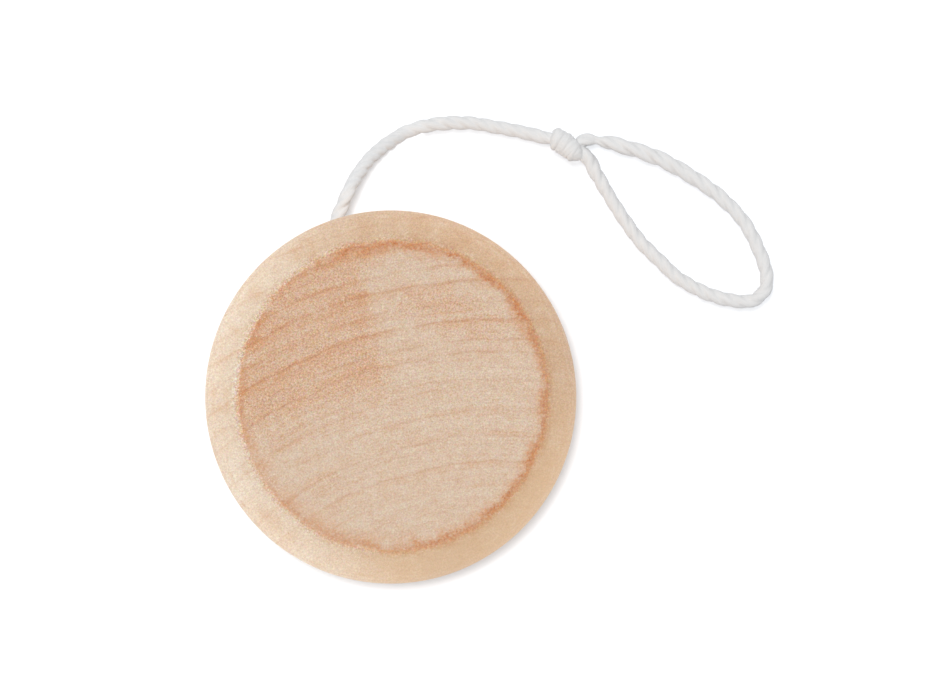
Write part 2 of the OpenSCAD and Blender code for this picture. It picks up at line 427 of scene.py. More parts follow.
def wood_patterns(graph, at):
    """Masks and noises shared by the face and the side."""
    def polar(angle_scale, radius_scale, shift):
        return graph.combine(at.ring_angle * angle_scale, at.ring_r * radius_scale, shift)

    place = at.ring_r.remap(over=RING_RANGE)
    line = graph.calculate("MAXIMUM",
                           ring_ramp(graph, place, INNER_RINGS, before=0.26, after=0.17),
                           ring_ramp(graph, place, OUTER_RINGS, before=0.30, after=0.18))
    band = graph.calculate("MAXIMUM",
                           ring_ramp(graph, place, INNER_RINGS, before=1.7, after=0.7),
                           ring_ramp(graph, place, OUTER_RINGS, before=2.0, after=0.8))
    # lines fade in and out along their length
    along = graph.noise(polar(9.0, 0.35, at.seed * 2.0), scale=1.0, detail=4.0, roughness=0.65)
    ends = at.ends
    speckle = graph.noise(ends, scale=4.4, detail=2.0, roughness=0.9)
    colour_noise = graph.noise(ends + (23, 31, 5), scale=4.0, detail=1.0, roughness=0.8, output=1)
    return SimpleNamespace(
        line=line * along.remap(over=(0.36, 0.60), to=(0.30, 1.25)),
        band=band * along.remap(over=(0.38, 0.60), to=(0.10, 1.3)),
        faint=graph.line_noise(at.ring_r + at.seed * 9.0, scale=0.85, detail=3.0, roughness=0.6),
        # thin lesser lines between the rings
        thin=graph.noise(polar(5.0, 1.9, at.seed * 2.0 + 5), scale=1.0, detail=3.0, roughness=0.6),
        # cut fibre ends
        speckle=speckle,
        tone=speckle - 0.5,
        tint=colour_noise - (0.5, 0.5, 0.5),
        torn=graph.noise(ends + (50, 20, 7), scale=5.6, detail=1.0, roughness=0.6),
        cloud=graph.noise(ends + (9, 77, 3), scale=1.5, detail=3.0, roughness=0.7),
        grit=graph.noise(ends + (17, 41, 6), scale=3.1, detail=2.0, roughness=0.75),
        mottle=graph.noise(ends + (5, 29, 3), scale=0.6, detail=3.0, roughness=0.65),
        # short streaks pointing at the pith, and blunter ones
        ray=graph.noise(polar(150.0, 0.9, at.seed), scale=1.0, detail=2.0, roughness=0.6),
        blunt_ray=graph.noise(polar(60.0, 3.6, at.seed + 4), scale=1.0, detail=2.0, roughness=0.6),
        fleck=graph.noise(graph.combine(at.ring_angle * 38.0, at.ring_r * 3.2, at.z * 0.25),
                          scale=1.0, detail=1.0),
        # long grain on the side
        fibre=graph.noise(at.grain * (7.0, 7.0, 0.35), scale=1.0, detail=3.0, roughness=0.6))


def front_blotch(graph, at):
    """The darker, more orange (-x, +y) part of the front face, with ragged patches."""
    ragged_x = graph.noise(at.ends, scale=0.5, detail=3.0, roughness=0.65)
    ragged_y = graph.noise(at.ends + (40, 9, 2), scale=0.45, detail=3.0, roughness=0.65)
    x = at.x + (ragged_x - 0.5) * 2.6
    y = at.y + (ragged_y - 0.5) * 5.0

    def patch(centre_x, centre_y, radius_x, radius_y, strength):
        out = graph.length((x - centre_x) / radius_x, (y - centre_y) / radius_y)
        return out.remap(over=(1.25, 0.45), to=(0.0, strength), smooth=True)

    left_side = ((y * -0.20 + 0.3) - x).remap(over=(-0.8, 1.9), smooth=True)
    upper_side = (y + x * -0.28).remap(over=(-2.8, 4.6), smooth=True)
    blotch = left_side * upper_side * 0.92
    for values in DARK_PATCHES:
        blotch = graph.calculate("MAXIMUM", blotch, patch(*values))
    for values in PALE_PATCHES:
        blotch = blotch * (1.0 - patch(*values))
    return blotch


def face_colour(graph, grain, blotch):
    orange = face_tone(212, 149, 98)

    def by_blotch(clear, dark):
        return blotch.remap(over=(0, 1), to=(clear, dark))

    return graph.paint(face_tone(222, 199, 176), [
        # mask, strength, colour
        (blotch, 0.74, face_tone(216, 177, 146)),
        (grain.band, by_blotch(0.32, 0.64), orange),
        (grain.faint.remap(over=(0.42, 0.70)), by_blotch(0.12, 0.30), orange),
        (grain.thin.remap(over=(0.54, 0.68)), by_blotch(0.26, 0.48), face_tone(203, 144, 104)),
        (grain.cloud.remap(over=(0.50, 0.74)), 0.30, face_tone(214, 166, 130)),
        (grain.cloud.remap(over=(0.46, 0.28)), 0.34, face_tone(228, 212, 194)),
        (grain.line, by_blotch(0.38, 0.46), face_tone(178, 108, 66)),
        (grain.ray.remap(over=(0.55, 0.72)), 0.14, face_tone(232, 214, 196)),
        (grain.blunt_ray.remap(over=(0.56, 0.74)), 0.16, orange),
        (grain.mottle.remap(over=(0.50, 0.66)), 0.30, face_tone(211, 170, 140)),
        (grain.mottle.remap(over=(0.49, 0.34)), 0.28, face_tone(229, 210, 190)),
    ])


def face_dots(graph, at, grain, blotch):
    """Fine dots, lighter and darker and of slightly different colours."""
    dots = grain.tint * 0.62 + graph.grey(grain.tone) * 2.0
    dots = dots * (0.62, 1.0, 1.25)
    return dots * (blotch.remap(over=(0, 1), to=(0.66, 1.0))
                   * at.y.remap(over=(-4.0, -9.0), to=(1.0, 0.80)))


def side_colour(graph, at, grain, plain):
    """Smooth turned long grain, with a painted sheen that makes it paler towards -x."""
    soft = graph.noise(at.grain * (1, 1, 0.05), scale=0.16, detail=3.0, roughness=0.55)
    # painted sheen: the shoulder is painted paler and lighter towards -x, where the light falls
    painted_sheen = (at.x * -0.99 + at.y * -0.14) / RIM_R
    colour = graph.mix(painted_sheen.remap(over=(-0.35, 0.88), smooth=True),
                       side_tone(217, 183, 151), side_tone(227, 209, 188))
    # fine marks left by turning, running round the rim
    marks = graph.noise(graph.combine(
        graph.calculate("SINE", at.theta) * 9.0,
        graph.calculate("COSINE", at.theta) * 9.0,
        (at.radius + at.z * 0.8) * 3.0), scale=1.0, detail=3.0, roughness=0.6)
    colour = graph.paint(colour, [
        # mask, strength, colour
        (soft.remap(over=(0.42, 0.68)), 0.30, side_tone(217, 178, 140)),
        (marks.remap(over=(0.50, 0.66)), 0.34, side_tone(208, 164, 124)),
        (marks.remap(over=(0.48, 0.34)), 0.30, side_tone(234, 214, 190)),
        (grain.fibre.remap(over=(0.5, 0.72)), 0.16, side_tone(204, 163, 126)),
        (grain.band, 0.20, side_tone(216, 170, 130)),
        (grain.line, 0.34, side_tone(196, 138, 100)),
    ])
    dots = grain.tint * 0.34 + graph.grey(grain.tone) * 1.10
    colour = colour * (dots * (0.7, 1.0, 1.2) + (1, 1, 1))
    # dark flecks lying along the ring lines
    layers = [(grain.fleck.remap(over=(0.74, 0.80)), 0.4, face_tone(178, 118, 84))]
    if not plain:
        # a warmer, lighter stretch towards +x, -y: partly the wood's own yellower tone, partly painted
        # light
        warm_lit_sector = graph.cosine(at.theta, -52).remap(over=(0.45, 1.0), smooth=True)
        layers.append((warm_lit_sector, 0.45, side_tone(226, 191, 152)))
    return graph.paint(colour, layers)


def scorch_crease(graph, at, grain, colour):
    """The burnished, scorched line on the crease, with painted shade just outside it. Returns the
    colour and the line's mask.
    """
    broad = graph.noise(at.ends, scale=0.42, detail=3.0, roughness=0.6)
    fine = graph.noise(at.ends + (3, 5, 1), scale=2.2, detail=3.0, roughness=0.7)
    wander = (broad - 0.5) * 1.5 + (fine - 0.5) * 1.3
    across = (at.radius - (FACE_R - 0.12)) + wander
    cosine = graph.calculate("COSINE", at.turn)
    top = graph.calculate("MULTIPLY_ADD", graph.calculate("SINE", at.turn), 0.5, 0.5)
    left = graph.calculate("MULTIPLY_ADD", cosine, -0.5, 0.5)

    # weaker towards (-x, -y), broken up at -x and fainter at +x
    weak = graph.cosine(at.turn, -138).remap(over=(0.55, 1.0), to=(1.0, 0.62), smooth=True)
    broken = graph.cosine(at.turn, 158).remap(over=(0.45, 0.90), smooth=True)
    gaps = graph.noise(at.ends + (61, 12, 8), scale=0.26, detail=3.0, roughness=0.6)
    gaps = gaps.remap(over=(0.42, 0.58), to=(0.10, 0.85))
    weak = weak * graph.mix(broken, (1, 1, 1), graph.grey(gaps))
    weak = weak * graph.calculate("COSINE", at.turn).remap(
        over=(0.90, 1.0), to=(1.0, 0.72), smooth=True)

    lumps = graph.noise(at.ends, scale=0.30, detail=4.0, roughness=0.75)
    lumps = lumps.remap(over=(0.40, 0.58), to=(0.30, 1.0))
    core = (across.remap(over=(-0.95, -0.10), smooth=True)
            * across.remap(over=(0.72, 0.02), smooth=True))
    inner_edge = left.remap(over=(0, 1), to=(-1.7, -3.2))
    wide = (across.remap(over=(inner_edge, -0.2), smooth=True)
            * across.remap(over=(1.0, 0.2), smooth=True))
    near_crease = at.depth.remap(over=(1.2, 2.6), to=(1.0, 0.0))
    grit = (grain.speckle.remap(over=(0.40, 0.56), to=(0.62, 1.0))
            * grain.grit.remap(over=(0.40, 0.56), to=(0.45, 1.0)))
    ring = core * lumps * (weak * grit) * near_crease
    halo = wide * broad.remap(over=(0.36, 0.62), to=(0.25, 1.0)) * (weak * grit) * near_crease
    # painted shade on the start of the shoulder, just outside the crease, strongest towards +x
    shoulder_shade = across.remap(over=(1.5, 0.1), smooth=True) * across.remap(over=(-0.3, 0.1))
    shoulder_shade = shoulder_shade * near_crease * graph.cosine(at.turn, -10).remap(
        over=(-0.3, 0.7), to=(0.10, 0.50))
    ring_colour = graph.mix(fine.remap(over=(0.42, 0.62)),
                            face_tone(207, 134, 76), face_tone(186, 100, 48))
    colour = graph.paint(colour, [
        # mask, strength, colour
        (halo, 0.80, face_tone(213, 146, 92)),
        # painted shade on the start of the shoulder
        (shoulder_shade, grain.grit.remap(over=(0.40, 0.60), to=(0.6, 1.0)), side_tone(206, 148, 104)),
        (ring, top.remap(over=(0, 1), to=(0.78, 0.98)), ring_colour),
    ])
    return colour, ring


def torn_fibres(graph, at, grain):
    """Torn pale fibre ends just inside the crease, mostly towards -x."""
    off_centre = graph.calculate("ABSOLUTE", at.radius - (FACE_R - 1.0))
    torn = grain.torn.remap(over=(0.66, 0.70)) * off_centre.remap(over=(2.0, 0.4))
    return torn * at.x.remap(over=(-10.0, -17.0), to=(0.15, 1.0))


def wood_height(graph, at, grain):
    face = grain.speckle * 0.7 + grain.ray * 0.3
    face = face - grain.line * 0.25
    lathe = graph.line_noise(at.radius * 1.0 + at.z * 1.3, scale=2.6, detail=2.0, roughness=0.6)
    side = grain.fibre * 0.35 + lathe * 0.25
    return graph.mix(at.on_face, graph.grey(side), graph.grey(face))


def wood(name, pith, face_z, outward, seed, crease, plain=False):
    """Turned wood with end grain on the flat face at height face_z. pith is the centre of the
    growth rings. outward is 1 where the face looks up, -1 where it looks down."""
    graph = Graph(name)
    at = wood_places(graph, pith, face_z, outward, seed, crease)
    grain = wood_patterns(graph, at)
    if plain:
        blotch = graph.noise(at.ends, scale=0.07, detail=2.0).remap(over=(0.42, 0.6))
    else:
        blotch = front_blotch(graph, at)
    colour = graph.mix(at.on_face, side_colour(graph, at, grain, plain),
                       face_colour(graph, grain, blotch))
    colour, ring = scorch_crease(graph, at, grain, colour)
    fade = at.radius.remap(over=(FACE_R + 0.2, FACE_R + 1.2), to=(1.0, 0.0))
    colour = colour * (face_dots(graph, at, grain, blotch) * fade + (1, 1, 1))
    colour = graph.paint(colour, [(torn_fibres(graph, at, grain), 0.8, face_tone(250, 238, 214))])
    roughness = grain.speckle.remap(over=(0.3, 0.7), to=(0.60, 0.78)) + ring * -0.12
    normal = graph.bump(wood_height(graph, at, grain), strength=0.55, distance=0.00009)
    return graph.principled(colour, roughness, normal, {"Specular IOR Level": 0.28})


def half_profile():
    """(radius, z) of a half from the middle of its flat face, over the rim, to the bottom of the
    blind hole. z is 0 on the face and grows towards the gap. The second array says how far each
    point follows the off-centre crease."""
    inset = RIM_R - FACE_R
    shoulder_r = (inset ** 2 + SHOULDER_HEIGHT ** 2) / (2 * inset)
    band_end = SHOULDER_HEIGHT + BAND_HEIGHT
    lip_r = HALF_HEIGHT - SHOULDER_HEIGHT - BAND_HEIGHT
    arc_start = math.atan2(-SHOULDER_HEIGHT, FACE_R - (RIM_R - shoulder_r))
    crease_width, crease_drop = 0.45, 0.03
    face_end = FACE_R - crease_width
    rows = [(r, 0.0, (r / FACE_R) ** 2) for r in np.linspace(0, face_end, 34)]
    # softened crease
    rows += [(face_end + crease_width * t, crease_drop * t * t, 1.0) for t in np.linspace(0.2, 1, 5)]
    # shoulder
    arc = np.linspace(arc_start, 0, 30)[1:]
    for i, angle in enumerate(arc, 1):
        rows.append((RIM_R - shoulder_r + shoulder_r * math.cos(angle),
                     SHOULDER_HEIGHT + shoulder_r * math.sin(angle) + crease_drop * (1 - i / len(arc)),
                     max(0.0, 1 - i / 22)))
    # rim band, lip and the flat beside the gap
    rows += [(RIM_R, SHOULDER_HEIGHT + BAND_HEIGHT * t, 0) for t in (0.33, 0.67, 1.0)]
    rows += [(RIM_R - lip_r + lip_r * math.cos(angle), band_end + lip_r * math.sin(angle), 0)
             for angle in np.linspace(0, math.pi / 2, 20)[1:]]
    rows += [(r, HALF_HEIGHT, 0) for r in np.linspace(RIM_R - lip_r, 3.35, 16)[1:]]
    # eased edge of the hole, its wall and its bottom
    rows += [(3.12, HALF_HEIGHT - 0.12, 0), (3.02, HALF_HEIGHT - 0.5, 0)]
    rows += [(2.99, HALF_HEIGHT - HOLE_DEPTH * t, 0) for t in np.linspace(0.1, 1, 5)]
    rows.append((0.01, HALF_HEIGHT - HOLE_DEPTH, 0))
    rows = np.array(rows)
    return rows[:, 0], rows[:, 1], rows[:, 2]


def half(name, outward, crease, material, seed):
    """One turned half; outward = 1 puts its flat face on top, looking up."""
    radii, heights, follow = half_profile()
    around = 300
    theta = np.linspace(0, 2 * np.pi, around, endpoint=False)
    random = np.random.default_rng(seed)
    # the outline isn't a true circle
    oval = 1 + 0.0028 * np.cos(2 * (theta - math.radians(88)))
    wobble = sum(0.012 / k * np.cos(k * theta + random.uniform(0, 6.28)) for k in (3, 4, 5, 7, 9))
    share = np.clip(radii / RIM_R, 0, 1)
    r = radii * (oval[:, None] * share + (1 - share))
    r = r + wobble[:, None] * np.clip((radii - 12) / 13, 0, 1)
    x = r * np.cos(theta)[:, None] + crease[0] * follow
    y = r * np.sin(theta)[:, None] + crease[1] * follow
    # shallow tool chatter near the crease
    near_crease = np.exp(-((radii - FACE_R) / 0.5) ** 2) * (heights < 1)
    chatter = sum(random.uniform(.3, 1) * np.cos(k * theta + random.uniform(0, 6.28))
                  for k in (11, 17, 23, 31, 44)) * 0.008
    z = heights + np.abs(chatter)[:, None] * near_crease
    face_z = 0.0
    if outward > 0:
        face_z = FRONT_Z
        z = FRONT_Z - z
    # the first profile point becomes a single vertex in the middle of the face
    verts = np.stack([x, y, z], -1)[:, 1:].reshape(-1, 3)
    verts = np.vstack([verts, [[0.0, 0.0, face_z]]])
    rows = len(radii) - 1
    i = np.arange(around)
    following = (i + 1) % around
    j = np.arange(rows - 1)[None]
    here, there = i[:, None] * rows + j, following[:, None] * rows + j
    quads = np.stack([there, there + 1, here + 1, here], -1).reshape(-1, 4)
    centre = np.full(around, around * rows)
    triangles = np.stack([i * rows, following * rows, centre], -1)
    hole_bottom = (i * rows + rows - 1)[None]
    faces = [block[:, ::outward] for block in (quads, triangles, hole_bottom)]
    return make_mesh(name, verts, faces, material, sharp=24)


front_wood = wood("wood_front", pith=(14.68, -54.14), face_z=FRONT_Z, outward=1, seed=0.0,
                  crease=FRONT_CREASE)
rear_wood = wood("wood_rear", pith=(-38.0, 33.0), face_z=0.0, outward=-1, seed=3.0,
                 crease=REAR_CREASE_COLOUR, plain=True)
front = half("front_half_wood", 1, FRONT_CREASE, front_wood, seed=3)
rear = half("rear_half_wood", -1, REAR_CREASE, rear_wood, seed=5)
for turned, cad_name in ((front, "front_half"), (rear, "rear_half")):
    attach(turned, "spool")
    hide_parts(cad_name)


# ------------------------------------------------------------------ axle dowel
def dowel_material():
    graph = Graph("wood_dowel")
    point = graph.position_mm()
    fibre = graph.noise(point * (4.0, 4.0, 0.25), scale=1.0, detail=4.0, roughness=0.6)
    broad = graph.noise(point * (0.6, 1.4, 0.02), scale=1.0, detail=2.0, roughness=0.5)
    colour = graph.mix(broad.remap(over=(0.35, 0.65)),
                       face_tone(214, 180, 140), face_tone(196, 154, 112))
    colour = graph.mix(fibre.remap(over=(0.5, 0.72)) * 0.4, colour, face_tone(160, 116, 78))
    return graph.principled(colour, fibre.remap(over=(0.3, 0.7), to=(0.55, 0.75)),
                            graph.bump(fibre, strength=0.5, distance=0.00008),
                            {"Specular IOR Level": 0.3})


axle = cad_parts["axle"]
axle.data.materials.clear()
axle.data.materials.append(dowel_material())


# ------------------------------------------------------------------ string material
def cotton_material():
    """White cotton, streaked along its threads by the yarn attribute."""
    graph = Graph("cotton")
    yarn = graph.make("ShaderNodeAttribute", {}, output="Vector",
                      attribute_name="yarn", attribute_type="GEOMETRY")
    streak = graph.noise(yarn * (2.6, 2.6, 0.9), scale=1.0, detail=3.0, roughness=0.65)
    fine = graph.noise(yarn * (7.0, 7.0, 1.6), scale=1.0, detail=2.0, roughness=0.6)
    lump = graph.noise(graph.position_mm(), scale=0.9, detail=2.0)
    colour = graph.mix(streak.remap(over=(0.35, 0.68)), (0.70, 0.70, 0.70), (0.75, 0.75, 0.75))
    colour = graph.mix(lump.remap(over=(0.35, 0.7)) * 0.35, colour, (0.69, 0.69, 0.69))
    height = streak * 0.6 + fine * 0.4
    return graph.principled(colour, fine.remap(over=(0.3, 0.7), to=(0.82, 0.96)),
                            graph.bump(height, strength=0.5, distance=0.00006), {
        "Specular IOR Level": 0.15, "Sheen Weight": 0.12, "Sheen Roughness": 0.6})


cotton = cotton_material()


# ------------------------------------------------------------------ string paths
# distances from the coil along the straight run out of the gap
RUN_STATIONS = (2.5, 5, 7.5, 10, 11.6, 14, 16.5, 19, 21.0, 23.0)
# (x, y, z) of the string from above the floor, through the knot, round the loop and back to it
FREE_STRING = np.array([
    # down to the floor
    (-4.95, 29.15, 12.9), (-3.3, 31.4, 9.7), (-1.2, 33.5, 5.5), (1.25, 35.15, 1.95),
    # along the floor
    (3.6, 36.1, .87), (6.2, 36.65, .86), (9.0, 36.85, .86), (11.3, 36.75, .86),
    (13.5, 36.4, .86), (16.4, 35.9, .86), (19.3, 35.2, .86),
    # through the knot
    (20.6, 34.9, 1.0), (21.9, 34.65, 1.4), (23.5, 33.85, 1.6), (24.8, 33.1, 1.4),
    (25.95, 32.6, 1.12), (26.7, 31.85, .94), (27.15, 30.8, .88),
    # lower side of the loop
    (27.75, 29.75, .86), (28.6, 28.4, .86), (30.1, 25.85, .86), (31.8, 23.25, .86),
    (33.7, 20.65, .86), (36.05, 18.35, .86), (38.2, 16.3, .86), (41.05, 14.55, .86),
    (44.0, 13.4, .86), (46.85, 12.85, .86), (48.75, 13.0, .86), (50.2, 14.3, .86),
    # upper side of the loop
    (50.55, 15.95, .86), (50.2, 17.8, .86), (49.5, 19.7, .86), (48.5, 21.85, .86),
    (47.2, 23.9, .86), (45.7, 25.55, .86), (43.5, 27.5, .86), (41.0, 29.3, .86),
    (38.3, 30.95, .86), (35.8, 32.2, .86), (33.4, 33.1, .86), (30.8, 33.85, .86),
    (29.4, 34.2, .87), (28.0, 34.48, .9), (26.6, 34.60, 1.0), (25.5, 34.32, 1.08),
])
LINE_STEP = 0.13
COIL_STEP = 0.24


def coil_points():
    """The wound turns, a little untidy, starting close to the axle."""
    full = TURNS * 360
    degrees = np.arange(0, full + 1, 5.0)
    r = FIRST_TURN_R + TURN_GAP * degrees / 360
    drop = (FIRST_TURN_R - COIL_START_R) * (1 + np.cos(np.pi * degrees / 70)) / 2
    r = np.where(degrees < 70, r - drop, r)
    fade = np.clip((full - degrees) / 220, 0, 1) * np.clip(degrees / 90, 0, 1)
    r = r + 0.10 * smooth_noise(len(degrees), 9, 21) * fade
    z = MID_Z + 0.36 * smooth_noise(len(degrees), 11, 22) * fade
    angle = math.radians(COIL_END_ANGLE) - np.radians(degrees - full)
    return np.stack([r * np.cos(angle), r * np.sin(angle), z], 1)


def around_knot(angle):
    return np.cos(angle) * KNOT_V + np.sin(angle) * UP


def knot_turns():
    """Into the knot from beneath, then three turns back towards the incoming string."""
    start, sweep = -100, 1080
    points = []
    for degrees in np.arange(start, start - sweep, -30.0):
        done = (start - degrees) / sweep
        along = 1.66 - 3.70 * done
        r = KNOT_TURN_R * (0.62 + 0.38 * min(1, done / 0.06))
        r *= 1 - 0.85 * max(0, (done - 0.88) / 0.12)       # the end tucks in
        r *= 1.04 - 0.10 * (along / 1.9) ** 2 - 0.07 * along
        points.append(KNOT_CENTRE + along * KNOT_U + r * around_knot(math.radians(degrees)))
    return np.array(points)


def free_line(coil):
    """The string from the coil to its tucked end, and the index where it enters the knot."""
    run = [COIL_END + distance * EXIT_U for distance in RUN_STATIONS]
    lead = catmull(np.vstack([coil[-3:], run, FREE_STRING]), 16)[2 * 16:]
    wraps = catmull(np.vstack([FREE_STRING[-2:], knot_turns()]), 16)[16:]
    points = soften(even(np.vstack([lead[:-1], wraps]), LINE_STEP), 2.2)
    # what lies below the view plane is spread very slightly about the view axis
    x, y, z = points[:, 0:1], points[:, 1:2], points[:, 2:3]
    share = np.clip((y - 26.5) / 3 + (x > 10) * 9, 0, 1)
    spread = 1 + (VIEW_PLANE_Z - z) / CAMERA_DISTANCE * share
    points[:, :2] = VIEW_AXIS + (points[:, :2] - VIEW_AXIS) * spread
    entry = nearest(points, KNOT_ENTRY)
    # a small sideways waver, still near the coil, the hinges and in the knot
    side = unit_rows(np.cross(UP, unit_rows(np.gradient(points, axis=0))))
    waver = np.ones(len(points))
    for place, reach in ((COIL_END, 60), (SWING, 20), (LIFT, 20), (TURN, 18),
                         (UPPER_ARM, 18), (LOWER_ARM, 18)):
        steps = np.linalg.norm(points - place, axis=1) / LINE_STEP
        waver = np.minimum(waver, np.clip((steps - reach * 0.3) / reach, 0, 1))
    waver[nearest(points, FREE_STRING[-1]):] = 0
    waver = 0.05 * smooth_noise(len(points), 34, 31) * waver
    return points + side * waver[:, None], entry


# ------------------------------------------------------------------ laid string
def laid(path, step, pitch, outer, depth, segments, seed, phase=0.0):
    """Soft three-strand string, twisted right-handed round the path. Per point, pitch is the
    length of one turn, outer the radius over the strands and depth how far the hollows between
    them sink. Returns rings x segments x 3 and yarn coordinates."""
    normals, binormals = cross_axes(path)
    count = len(path)
    pitch, outer, depth = (np.broadcast_to(value, count) for value in (pitch, outer, depth))
    distance = (np.arange(count) * step)[:, None]
    twist = (phase + np.cumsum(2 * np.pi * step / pitch))[:, None]
    phi = np.linspace(0, 2 * np.pi, segments, endpoint=False)[None]

    def unevenness(amount, length, noise_seed):
        return amount * smooth_noise(count, length, noise_seed)[:, None]

    warped = phi + unevenness(0.10, 24, seed * 5 + 2) * np.sin(phi)
    hollow = ((1 - np.cos(3 * warped)) / 2) ** 1.8
    sink = depth[:, None] * (1 + unevenness(0.30, 28, seed * 3 + 1))
    radius = outer[:, None] * (1 - sink * hollow)
    for k in range(3):
        strand = np.clip(np.cos(phi - k * 2 * np.pi / 3), 0, 1) ** 2
        radius = radius * (1 + unevenness(0.045, 26, seed * 11 + k) * strand)
    # threads within the strands, and slight unevenness
    radius = radius * (1 + 0.010 * np.sin(9 * phi - distance * 2 * np.pi / 3.1) * (1 - hollow))
    radius = radius * (1 + unevenness(0.012, 7, seed * 17))
    angle = (twist + phi)[..., None]
    rings = path[:, None] + radius[..., None] * (np.cos(angle) * normals[:, None]
                                                 + np.sin(angle) * binormals[:, None])
    thread = phi + 0.45 * twist
    yarn = np.stack([np.cos(thread) * 2.2, np.sin(thread) * 2.2,
                     np.broadcast_to(distance, thread.shape)], -1)
    return rings, yarn


def loose_fibres(rings, yarn, count, seed, first_vertex):
    """Thin, short, bent fibres standing off the string: vertices, yarn and faces."""
    random = np.random.default_rng(seed)
    rows, segments, _ = rings.shape
    row = random.integers(2, rows - 3, count)
    column = random.integers(0, segments, count)
    centres = rings.mean(1)
    out = rings[row, column] - centres[row]
    reach = np.linalg.norm(out, axis=1)
    keep = reach > STRING_R * 0.72
    row, column, out = row[keep], column[keep], out[keep] / reach[keep][:, None]
    root = rings[row, column]
    count = len(row)
    tangent = centres[np.minimum(row + 2, rows - 1)] - centres[np.maximum(row - 2, 0)]
    tangent /= np.linalg.norm(tangent, axis=1)[:, None] + 1e-9
    length = random.uniform(0.18, 0.62, count) * (1 + (random.random(count) < 0.10) * 0.7)
    heading = unit_rows(
        out * random.uniform(0.25, 0.85, (count, 1))
        + tangent * random.choice([-1, 1], (count, 1)) * random.uniform(0.4, 1, (count, 1))
        + random.normal(0, 0.25, (count, 3)))
    bend = random.normal(0, 0.8, (count, 3))
    radius = random.uniform(0.006, 0.0105, count)
    across = unit_rows(np.cross(heading, random.normal(0, 1, (count, 3))))
    upright = np.cross(heading, across)
    steps = 4
    levels = []
    for k in range(steps + 1):
        part = k / steps
        middle = (root - out * 0.03 + heading * (length * part)[:, None]
                  + bend * (length * part * part * 0.35)[:, None])
        middle[:, 2] = np.maximum(middle[:, 2], 0.03)      # stays above the floor
        thin = radius * (1 - 0.75 * part)
        corners = [middle + across * (thin * math.cos(angle))[:, None]
                   + upright * (thin * math.sin(angle))[:, None] for angle in (0, 2.094, 4.189)]
        levels.append(np.stack(corners, 1))
    verts = np.stack(levels, 1).reshape(-1, 3)
    fibre_yarn = np.repeat(yarn[row, column], (steps + 1) * 3, axis=0)
    fibre = np.arange(count)[:, None, None]
    level = np.arange(steps)[None, :, None]
    corner = np.arange(3)[None, None]
    base = first_vertex + (fibre * (steps + 1) + level) * 3
    here, beside = base + corner, base + (corner + 1) % 3
    faces = np.stack([here, beside, beside + 3, here + 3], -1).reshape(-1, 4)
    return verts, fibre_yarn, faces


def string_mesh(name, laid_string, start=0, end=None, capped=(False, False), fibres=0, seed=1):
    """The string between two rings, both included, with its loose fibres."""
    rings, yarn = laid_string
    if end is not None:
        rings, yarn = rings[start:end + 1], yarn[start:end + 1]
    rows, segments, _ = rings.shape
    verts, attribute = [rings.reshape(-1, 3)], [yarn.reshape(-1, 3)]
    base = np.arange(rows - 1)[:, None] * segments
    column = np.arange(segments)
    here, beside = base + column, base + (column + 1) % segments
    quads = np.stack([here, beside, beside + segments, here + segments], -1).reshape(-1, 4)
    faces = [quads]
    if capped[0]:
        faces.append(column[::-1][None])
    if capped[1]:
        faces.append(((rows - 1) * segments + column)[None])
    if fibres:
        more = loose_fibres(rings, yarn, fibres, seed, rows * segments)
        for parts, part in zip((verts, attribute, faces), more):
            parts.append(part)
    made = make_mesh(name, np.vstack(verts), faces, cotton, yarn=np.vstack(attribute))
    return made


def line_lay(count, entry, tip, lower, upper):
    """Pitch, outer radius and hollow depth along the free line. The arguments after count are
    the indices of the knot entry, the loop's tip and its two arm hinges."""
    along = np.arange(count) * LINE_STEP
    entry, tip, lower, upper = along[[entry, tip, lower, upper]]
    pitch = LOOSE_PITCH * (1 + 0.06 * smooth_noise(count, 60, 41))
    # the arm between the tip and the knot is laid more loosely, and opens near the knot
    part = np.clip((along - tip) / (upper - tip), 0, 1)
    on_arm = (along >= tip) & (along <= upper + 3)
    pitch = np.where(on_arm, 6.0 + 4.6 * part ** 0.8, pitch)
    pitch = np.where(along > upper + 3, 8.5, pitch)
    short = upper - along
    opened = np.clip((short - 0.4) / 2.2, 0, 1) * np.clip((24 - short) / 16, 0, 1)
    opened = opened * opened * (3 - 2 * opened)
    outer = 0.915 + 0.13 * opened
    depth = 0.15 + 0.05 * opened
    waist = np.exp(-0.5 * ((short + 0.62) / 0.55) ** 2)
    # pulled tight inside the knot: the wraps, then the string through its middle
    wraps = np.clip((along - upper - 2.8) / 1.0, 0, 1)
    through = np.clip((along - entry + 0.5) / 1.2, 0, 1) * np.clip((lower - 3.6 - along) / 1.2, 0, 1)
    bulge = np.exp(-0.5 * ((along - lower + 1.2) / 1.3) ** 2)
    outer = (outer * (1 - 0.42 * waist) * (1 - 0.20 * wraps) * (1 - 0.12 * through)
             * (1 + 0.09 * bulge))
    return pitch, outer, depth * (1 + 0.25 * wraps)


